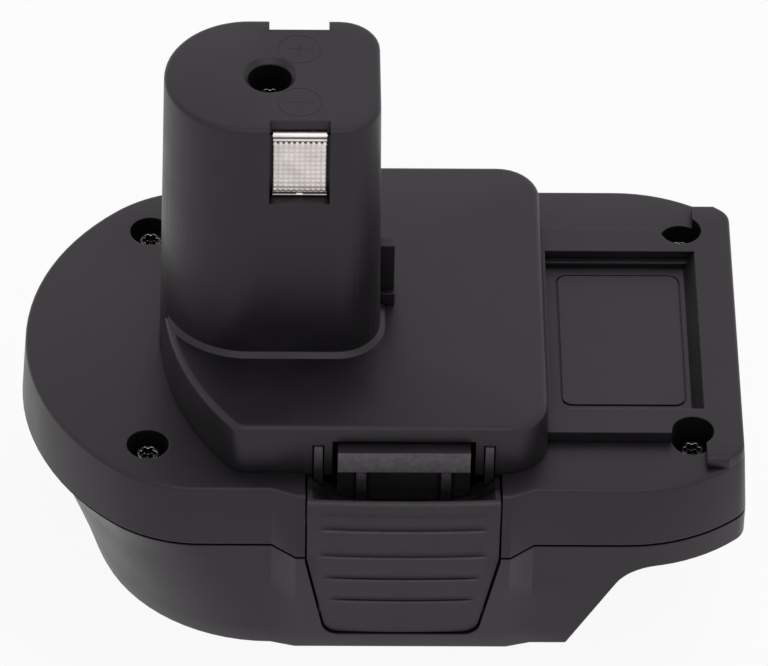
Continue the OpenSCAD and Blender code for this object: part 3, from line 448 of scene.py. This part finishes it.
def latch_wear_and_highlights(tree, coords):
    """Mask of a latch's rubbed hook and of its painted highlights, broken by scratches."""
    up, out, aside = latch_places(tree, coords)
    mask = most(tree, hook_wear(tree, up, out), ear_highlight(tree, up, aside),
                scoop_light(tree, up, out, aside), panel_highlights(tree, up, out, aside))
    scratch = noise(tree, coords, SCRATCH_SCALE, detail=6.0, rough=0.7)
    return times(tree, mask, ease(tree, scratch, *SCRATCH_SHARES, *NOISE_RANGE))


def lit_flanks(tree, up):
    """Share of the painted crevice shade left on a face, which is small where it looks up into the light.
    """
    facing = tree.nodes.new("ShaderNodeSeparateXYZ")
    link(tree, (tree.nodes.new("ShaderNodeNewGeometry"), "Normal"), facing, "Vector")
    flank = ease(tree, (facing, "Z"), 1.0, 0.0, *FLANK_RANGE)
    link(tree, ease(tree, up, *FLANK_SHADE, FLANK_Z, FLANK_Z + MM), flank[0], "To Max")
    return flank


def groove_shade_strips(tree, up, aside):
    """Strips of painted shade above the grip grooves, and a faint one near the latch's top."""
    count, ends = grip_places(tree, up, aside)
    strip = ease(tree, math_node(tree, "FRACT", count), 1.0, 0.0, 0.0, STRIP_H / GRIP_PITCH)
    strip = math_node(tree, "POWER", strip, ease(tree, count, *STRIP_POWERS, *STRIP_CHANGE))
    strip = times(tree, strip, between(tree, count, *STRIP_SPAN), STRIP_SHADE)
    faint = ease(tree, distance(tree, up, FAINT_Z), FAINT_SHADE, 0.0, 0.0, FAINT_HALF)
    return times(tree, most(tree, strip, faint), ends)


def latch_painted_shade(tree, coords, crevices):
    """Mask of a latch's painted shade: crevices, strips along its grooves and its lower half."""
    up, _, aside = latch_places(tree, coords)
    # painted shade: the panel's lower half darker than its upper half
    lower = ease(tree, up, LOWER_SHADE, 0.0, PANEL_BEND, PANEL_BEND + BEND_FADE)
    return most(tree, times(tree, crevices, lit_flanks(tree, up)), groove_shade_strips(tree, up, aside), lower)


# Materials
def moulded_plastic(name, value, worn, roughness, grain, edge, clear=0.75, is_latch=False):
    """Black plastic from an eroded mould: fine grain, faint flow mottling, rubbed edges with painted
    highlights, painted shade in crevices.
    """
    mat, tree, shader = new_material(name)
    coords = tree.nodes.new("ShaderNodeTexCoord")
    mottle = noise(tree, coords, MOTTLE_SCALE, detail=5.0)
    colour = ramp(tree, mottle, *(grey(value * tone) for tone in MOTTLE_TONES))
    rub = noise(tree, coords, RUB_SCALE, detail=6.0, rough=0.7)
    normal, edges, outer = edge_mask(tree, edge, RUB_TURN)
    # rubbed edges with painted highlights: edges that stand out, lightened in a rubbed pattern towards the
    # worn tone
    wear_and_highlight = times(tree, edges, outer, ease(tree, rub, *RUB_SHARES, *RUB_RANGE))
    colour = mix_colours(tree, wear_and_highlight, colour, grey(worn))
    # painted shade: darker colour where the piece's own faces close in round a point
    painted_shade = ease(tree, openness(tree, CREVICE), 1.0, 0.0, clear - CREVICE_FADE, clear)
    if is_latch:
        # rubbed hook and painted highlights of the latch, in one lighter tone
        colour = mix_colours(tree, latch_wear_and_highlights(tree, coords), colour, grey(WORN_AND_LIT_TONE))
        # painted shade of the latch: crevices, strips along its grooves and its lower half
        painted_shade = latch_painted_shade(tree, coords, painted_shade)
    link(tree, mix_colours(tree, painted_shade, colour, CREVICE_SHADE_TONE), shader, "Base Color")
    # painted shade: less gloss in the same shaded places
    gloss = ease(tree, painted_shade, PLASTIC_GLOSS, CREVICE_GLOSS * PLASTIC_GLOSS, 0.0, 1.0)
    link(tree, gloss, shader, "Specular IOR Level")
    shine = ease(tree, mottle, roughness - MOTTLE_SHINE, roughness + MOTTLE_SHINE, *NOISE_RANGE)
    link(tree, shine, shader, "Roughness")
    bump = add(tree, "ShaderNodeBump", Strength=GRAIN_STRENGTH, Distance=GRAIN_DEPTH)
    link(tree, noise(tree, coords, grain, detail=2.0, rough=0.6), bump, "Height")
    link(tree, normal, bump, "Normal")
    link(tree, (bump, "Normal"), shader, "Normal")
    shader.inputs["Specular Tint"].default_value = GLOSS_TINT
    return mat


def worked_metal(name, colour, roughness, grain, strength, bare=None):
    """Bare, plated or blackened metal with a fine drawn grain, uneven shine and edges worn bare."""
    mat, tree, shader = new_material(name)
    coords = tree.nodes.new("ShaderNodeTexCoord")
    blotch = noise(tree, coords, BLOTCH_SCALE, detail=4.0)
    tint = ramp(tree, blotch, opaque(colour, BLOTCH_TONE), opaque(colour))
    darkened = add(tree, "ShaderNodeAttribute", attribute_name="darkening")
    # darker where the sheet's points carry a darkening share
    tint = mix_colours(tree, (darkened, "Fac"), tint, DARKENED_TONE)
    bump = add(tree, "ShaderNodeBump", Strength=strength, Distance=DRAWN_DEPTH)
    if bare is not None:
        normal, edges, _ = edge_mask(tree, BARE_EDGE, BARE_TURN)
        tint = mix_colours(tree, edges, tint, opaque(bare))
        link(tree, normal, bump, "Normal")
    link(tree, tint, shader, "Base Color")
    shine = ease(tree, blotch, *(roughness + change for change in BLOTCH_SHINE), *NOISE_RANGE)
    link(tree, shine, shader, "Roughness")
    link(tree, noise(tree, coords, grain), bump, "Height")
    link(tree, (bump, "Normal"), shader, "Normal")
    shader.inputs["Metallic"].default_value = 1.0
    return mat


def insulation(name, colour):
    """Soft wire insulation, slightly uneven in tone."""
    mat, tree, shader = new_material(name)
    coords = tree.nodes.new("ShaderNodeTexCoord")
    blotch = noise(tree, coords, LEAD_SCALE)
    link(tree, ramp(tree, blotch, opaque(colour, LEAD_TONE), opaque(colour)), shader, "Base Color")
    link(tree, ease(tree, blotch, *LEAD_ROUGHNESS, *NOISE_RANGE), shader, "Roughness")
    return mat


# Solids: joined flat faces and smooth curves
def smooth_group():
    """Welds the faces of a solid and shades its curves smoothly, with sharp edges kept."""
    group = bpy.data.node_groups.new("smooth_curves", "GeometryNodeTree")
    group.interface.new_socket("Geometry", in_out="INPUT", socket_type="NodeSocketGeometry")
    group.interface.new_socket("Geometry", in_out="OUTPUT", socket_type="NodeSocketGeometry")
    start = group.nodes.new("NodeGroupInput")
    forget = add(group, "GeometryNodeRemoveAttribute", Name="custom_normal")
    weld = add(group, "GeometryNodeMergeByDistance", Distance=WELD_DISTANCE)
    faces = add(group, "GeometryNodeSetShadeSmooth", domain="FACE")
    edges = add(group, "GeometryNodeSetShadeSmooth", domain="EDGE")
    end = group.nodes.new("NodeGroupOutput")
    steps = (start, forget, weld, faces, edges, end)
    for first, second in zip(steps, steps[1:]):
        link(group, (first, "Geometry"), second, "Geometry")
    angle = group.nodes.new("GeometryNodeInputMeshEdgeAngle")
    compare = add(group, "FunctionNodeCompare", operation="LESS_THAN")
    compare.inputs["B"].default_value = SMOOTH_ANGLE
    link(group, (angle, "Unsigned Angle"), compare, "A")
    link(group, (compare, "Result"), edges, "Shade Smooth")
    return group


def shade(obj, group):
    smooth = obj.modifiers.new("smooth_curves", "NODES")
    smooth.node_group = group


def paint(obj, mat):
    obj.data.materials.clear()
    obj.data.materials.append(mat)


def mesh_object(name, bm, mat):
    mesh = bpy.data.meshes.new(name)
    bm.normal_update()
    bm.to_mesh(mesh)
    bm.free()
    obj = bpy.data.objects.new(name, mesh)
    bpy.context.scene.collection.objects.link(obj)
    paint(obj, mat)
    return obj


def mesh_piece(name, bm, mat, body="casing"):
    """A piece that rides on a body, or on none yet."""
    obj = mesh_object(name, bm, mat)
    if body is not None:
        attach(obj, body)
    return obj


# Contacts: one bent sheet each, embossed on its face
def contact_rows(top, foot, reach):
    """Rows of the sheet from its lip to its tail's end: depth, height, width, dot phase, pressed line."""
    rows = [(depth * MM, top - drop * MM, 1.0, None, depth > LINE_DEPTH and drop > LIP_H)
            for drop, depth in HEAD_ROWS]
    high = rows[-1][1]
    low = foot + FOOT_ROWS[0][0] * MM
    count = DOT_ROWS * DOT_STEPS
    rows += [(0.0, high + (low - high) * i / count, 1.0, i / DOT_STEPS, False) for i in range(1, count)]
    rows += [(depth * MM, foot + rise * MM, 1.0, None, depth > LINE_DEPTH and rise > FOOT_H)
             for rise, depth in FOOT_ROWS]
    rows += [(reach - BEND, foot, 1.0, None, False), (reach, foot - BEND, TAIL_SHARE, None, False),
             (reach, foot - TAIL_L, TAIL_SHARE, None, False)]
    return rows


def dot(u, phase):
    """Relief of the embossing, from 0 between the dots to 1 on a dot, at a share u of the width."""
    across = math.sin(math.pi * ((u * DOT_COLUMNS) % 1.0))
    along = math.sin(math.pi * (phase % 1.0))
    return (DOT_RIB * across + (1 - DOT_RIB) * across * along) ** DOT_POWER


def darkening_at(i, u, drop, rise, sunk, pressed):
    """Darkening of a point: full on pressed lines, broken by teeth and a gap, and slight on the ground
    between the dots.
    """
    if rise < FOOT_ZONE and abs(u - 0.5) < GAP_HALF:
        return 0.0
    if pressed:
        tooth = drop > TEETH_DROP and rise > FOOT_ZONE and i % DOT_STEPS in TOOTH_STEPS
        return 0.0 if tooth else 1.0
    return GROUND_DARKENING * sunk


def contact(node, side, mat):
    low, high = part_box(node)
    middle = (low.x + high.x) / 2
    half = (high.x - low.x) / 2
    face = high.y if side > 0 else -low.y
    inner = low.y if side > 0 else -high.y
    foot = low.z + TAIL_L
    columns = DOT_COLUMNS * DOT_STEPS
    bm = bmesh.new()
    grid = []
    darkening = []
    for depth, z, width, phase, pressed in contact_rows(high.z, foot, face - inner - SOLID_T):
        line = []
        for i in range(columns + 1):
            u = i / columns
            sunk = 0.0 if phase is None else 1 - dot(u, phase)
            x = middle + (2 * u - 1) * half * width
            y = side * (face - depth - DOT_HEIGHT * sunk)
            line.append(bm.verts.new((x, y, z)))
            darkening.append(darkening_at(i, u, high.z - z, z - foot, sunk, pressed))
        grid.append(line)
    for a, b in zip(grid, grid[1:]):
        for i in range(columns):
            quad = (a[i], b[i], b[i + 1], a[i + 1])
            bm.faces.new(quad if side < 0 else quad[::-1])
    piece = mesh_piece(node + "_sheet", bm, mat)
    piece.data.attributes.new("darkening", "FLOAT", "POINT").data.foreach_set("value", darkening)
    for polygon in piece.data.polygons:
        polygon.use_smooth = True
    thick = piece.modifiers.new("sheet", "SOLIDIFY")
    thick.thickness = SHEET_T
    thick.offset = -1.0
    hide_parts(node)


# Springs: copies of the solids, shaded smoothly, that stand in for them
def coil(node, mat, group):
    solid = nodes[node]
    bm = bmesh.new()
    bm.from_mesh(solid.data)
    bm.transform(solid.matrix_world)
    piece = mesh_piece(node + "_coil", bm, mat, None)
    shade(piece, group)
    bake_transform(piece)
    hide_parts(node)


# Polarity marks: fine raised lines
def ridge(bm, points, closed):
    """A low ridge with sloped sides along points on the stem's top."""
    rings = []
    n = len(points)
    for i, p in enumerate(points):
        ahead = points[(i + 1) % n] if closed or i + 1 < n else p
        behind = points[i - 1] if closed or i > 0 else p
        way = (ahead - behind).normalized()
        across = Vector((-way.y, way.x, 0.0))
        rings.append([bm.verts.new(p + across * (w * MARK_W / 2) + Vector((0, 0, h * MARK_H)))
                      for w, h in RIDGE])
    sides = len(RIDGE)
    pairs = list(zip(rings, rings[1:])) + ([(rings[-1], rings[0])] if closed else [])
    for a, b in pairs:
        for k in range(sides):
            j = (k + 1) % sides
            bm.faces.new((a[k], a[j], b[j], b[k]))
    if not closed:
        bm.faces.new(rings[0])
        bm.faces.new(rings[-1][::-1])


def polarity_mark(name, y, plus, mat):
    """A ring with a minus or a plus in it, the plus with a gap where its arms would cross."""
    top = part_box("upper_casing")[1].z
    centre = Vector((MARK_X, y, top))
    bm = bmesh.new()
    turn = [2 * math.pi * i / MARK_STEPS for i in range(MARK_STEPS)]
    ridge(bm, [centre + MARK_R * Vector((math.cos(a), math.sin(a), 0)) for a in turn], True)
    along_x = Vector((MARK_ARM, 0, 0))
    along_y = Vector((0, MARK_ARM, 0))
    ridge(bm, [centre - along_x, centre + along_x], False)
    if plus:
        ridge(bm, [centre - along_y, centre - along_y * PLUS_GAP], False)
        ridge(bm, [centre + along_y * PLUS_GAP, centre + along_y], False)
    bmesh.ops.recalc_face_normals(bm, faces=bm.faces)
    mesh_piece(name, bm, mat)


# Light, floor and camera
def soft_light(name, place, aim, size, power, in_gloss):
    data = bpy.data.lights.new(name, "AREA")
    data.shape = "RECTANGLE"
    data.size, data.size_y = size
    data.energy = power
    lamp = bpy.data.objects.new(name, data)
    bpy.context.scene.collection.objects.link(lamp)
    lamp.location = place
    lamp.rotation_euler = (Vector(aim) - Vector(place)).to_track_quat("-Z", "Y").to_euler()
    lamp.visible_glossy = in_gloss


def white_share(tree, seen_share, bounce_share):
    """Share of white: one for the camera, gloss and glass, another for the light on the object."""
    path = tree.nodes.new("ShaderNodeLightPath")
    seen = most(tree, (path, "Is Camera Ray"), (path, "Is Glossy Ray"), (path, "Is Transmission Ray"))
    bounce = times(tree, (path, "Is Diffuse Ray"), bounce_share)
    return math_node(tree, "ADD", times(tree, seen, seen_share), bounce)


def floor():
    """Plain white floor that keeps the shadow and is clear from below."""
    mat = bpy.data.materials.new("floor_white")
    mat.use_nodes = True
    tree = mat.node_tree
    tree.nodes.remove(tree.nodes["Principled BSDF"])
    lit = (add(tree, "ShaderNodeBsdfDiffuse", Color=FLOOR_TONE), "BSDF")
    white = (add(tree, "ShaderNodeEmission", Color=WHITE, Strength=1.0), "Emission")
    upper = mix_shaders(tree, white_share(tree, FLOOR_WHITE, FLOOR_BOUNCE), lit, white)
    clear = (tree.nodes.new("ShaderNodeBsdfTransparent"), "BSDF")
    from_below = (tree.nodes.new("ShaderNodeNewGeometry"), "Backfacing")
    link(tree, mix_shaders(tree, from_below, upper, clear), tree.nodes["Material Output"], "Surface")
    bm = bmesh.new()
    bmesh.ops.create_grid(bm, x_segments=1, y_segments=1, size=FLOOR_HALF)
    obj = mesh_object("floor", bm, mat)
    obj.location.z = cad_box[0][2] - FLOOR_GAP


def surroundings():
    """White behind the object, and a weak even light from all sides."""
    world = bpy.data.worlds.new("studio")
    bpy.context.scene.world = world
    world.use_nodes = True
    tree = world.node_tree
    soft = tree.nodes["Background"]
    soft.inputs["Color"].default_value = WHITE
    soft.inputs["Strength"].default_value = WORLD_LIGHT
    white = (add(tree, "ShaderNodeBackground", Color=WHITE, Strength=1.0), "Background")
    mixed = mix_shaders(tree, white_share(tree, 1.0, 0.0), (soft, "Background"), white)
    link(tree, mixed, tree.nodes["World Output"], "Surface")


def camera():
    a, e, r = (math.radians(v) for v in (VIEW_AZIMUTH, VIEW_ELEVATION, VIEW_ROLL))
    back = Vector((math.sin(a) * math.cos(e), -math.cos(a) * math.cos(e), math.sin(e)))
    right = Vector((math.cos(a), math.sin(a), 0.0))
    up = back.cross(right)
    across = right * math.cos(r) + up * math.sin(r)
    upright = up * math.cos(r) - right * math.sin(r)
    data = bpy.data.cameras.new("camera")
    data.sensor_width = VIEW_SENSOR
    data.lens = VIEW_LENS
    data.clip_end = VIEW_END
    obj = bpy.data.objects.new("camera", data)
    bpy.context.scene.collection.objects.link(obj)
    turn = Matrix((across, upright, back)).transposed().to_4x4()
    obj.matrix_world = Matrix.Translation(VIEW_TARGET + back * VIEW_DISTANCE) @ turn
    bpy.context.scene.camera = obj


# Finishes, by the record's material slots
PLASTICS = {
    "casing_plastic": dict(value=0.009, worn=0.034, roughness=0.40, grain=5200.0, edge=0.25 * MM),
    "latch_plastic": dict(value=0.009, worn=0.05, roughness=0.40, grain=6000.0, edge=0.12 * MM,
                          clear=0.98, is_latch=True),
    "inner_plastic": dict(value=0.012, worn=0.03, roughness=0.42, grain=7000.0, edge=0.2 * MM),
    "label_film": dict(value=0.012, worn=0.025, roughness=0.38, grain=9000.0, edge=0.15 * MM),
}
METALS = {
    "contact_metal": dict(colour=(0.87, 0.80, 0.765), roughness=0.34, grain=3000.0, strength=0.12),
    "terminal_brass": dict(colour=(0.78, 0.60, 0.33), roughness=0.3, grain=3000.0, strength=0.1),
    "spring_steel": dict(colour=(0.6, 0.6, 0.62), roughness=0.28, grain=4000.0, strength=0.1),
    "black_screw": dict(colour=(0.022, 0.021, 0.022), roughness=0.26, grain=5000.0, strength=0.15,
                        bare=(0.9, 0.88, 0.87)),
    "bright_screw": dict(colour=(0.66, 0.67, 0.69), roughness=0.32, grain=4000.0, strength=0.12),
}
LEADS = {
    "red_lead": (0.5, 0.02, 0.02),
    "black_lead": (0.02, 0.02, 0.02),
}
finishes = {slot: moulded_plastic(slot, **look) for slot, look in PLASTICS.items()}
finishes.update({slot: worked_metal(slot, **look) for slot, look in METALS.items()})
finishes.update({slot: insulation(slot, colour) for slot, colour in LEADS.items()})

curves = smooth_group()
for part in frame["record"]["subparts"]:
    solid = nodes[part["node"]]
    paint(solid, finishes[part["material_slot"]])
    shade(solid, curves)

contact("front_contact", -1, finishes["contact_metal"])
contact("rear_contact", 1, finishes["contact_metal"])
coil("front_latch_spring", finishes["spring_steel"], curves)
coil("rear_latch_spring", finishes["spring_steel"], curves)
polarity_mark("rear_polarity_mark", MARK_Y, True, finishes["casing_plastic"])
polarity_mark("front_polarity_mark", -MARK_Y, False, finishes["casing_plastic"])

floor()
surroundings()
for lamp in LAMPS:
    soft_light(*lamp)
camera()
bpy.context.scene.view_settings.view_transform = "Standard"
